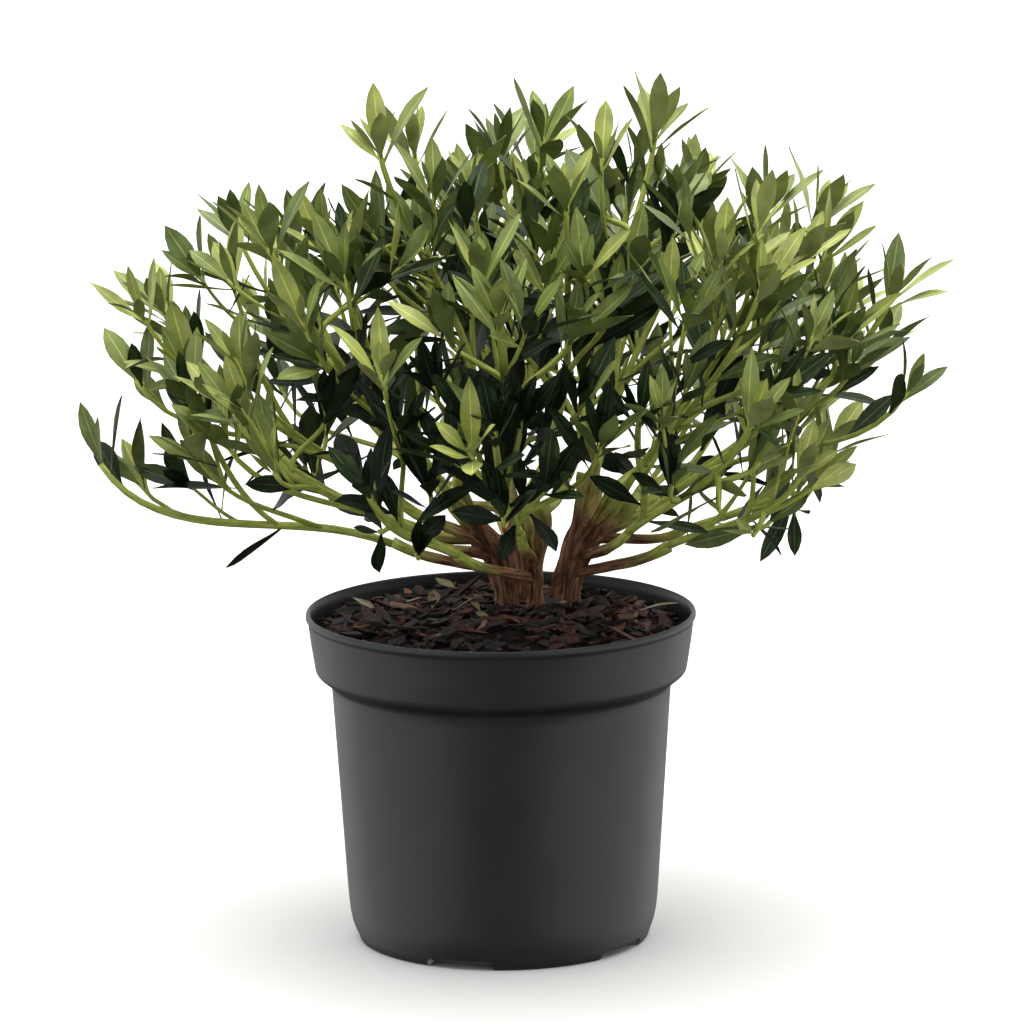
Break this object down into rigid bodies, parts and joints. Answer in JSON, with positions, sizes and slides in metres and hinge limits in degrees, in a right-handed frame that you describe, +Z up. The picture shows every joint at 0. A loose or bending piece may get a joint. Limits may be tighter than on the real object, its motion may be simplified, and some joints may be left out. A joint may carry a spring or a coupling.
{
  "type": "potted dwarf rhododendron",
  "caption": "Bushy dwarf rhododendron with narrow evergreen leaves on upright shoots, growing from a clump of short stems in a round, lipped nursery pot full of bark compost.",
  "frame": {"origin": "centre of the pot's flat underside", "axes": "+Z up; -Y is the front, the side the picture shows; +X is to the right as seen from the front"},
  "size_m": [0.428, 0.3865, 0.4315],
  "materials": {
    "pot_plastic": "satin",
    "compost": "matte",
    "bark": "matte",
    "foliage": "satin"
  },
  "bodies": {
    "root": {"pot": "pot_plastic", "root_ball": "compost", "stem_1": "bark", "stem_2": "bark", "stem_3": "bark", "stem_4": "bark", "stem_5": "bark", "bough_01": "bark", "bough_02": "bark", "bough_03": "bark", "bough_04": "bark", "bough_05": "bark", "bough_06": "bark", "bough_07": "bark", "bough_08": "bark", "bough_09": "bark", "bough_10": "bark", "bough_11": "bark", "bough_12": "bark", "bough_13": "bark", "bough_14": "bark", "bough_15": "bark", "bough_16": "bark", "bough_17": "bark", "bough_18": "bark", "bough_19": "bark", "bough_20": "bark", "bough_21": "bark", "bough_22": "bark", "bough_23": "bark", "bough_24": "bark", "bough_25": "bark", "bough_26": "bark", "foliage_01": "foliage", "foliage_02": "foliage", "foliage_03": "foliage", "foliage_04": "foliage", "foliage_05": "foliage", "foliage_06": "foliage", "foliage_07": "foliage", "foliage_08": "foliage", "foliage_09": "foliage", "foliage_10": "foliage", "foliage_11": "foliage", "foliage_12": "foliage", "foliage_13": "foliage", "foliage_14": "foliage", "foliage_15": "foliage", "foliage_16": "foliage", "foliage_17": "foliage", "foliage_18": "foliage", "foliage_19": "foliage", "foliage_20": "foliage", "foliage_21": "foliage", "foliage_22": "foliage", "foliage_23": "foliage", "foliage_24": "foliage", "foliage_25": "foliage", "foliage_26": "foliage"}
  },
  "joints": []
}
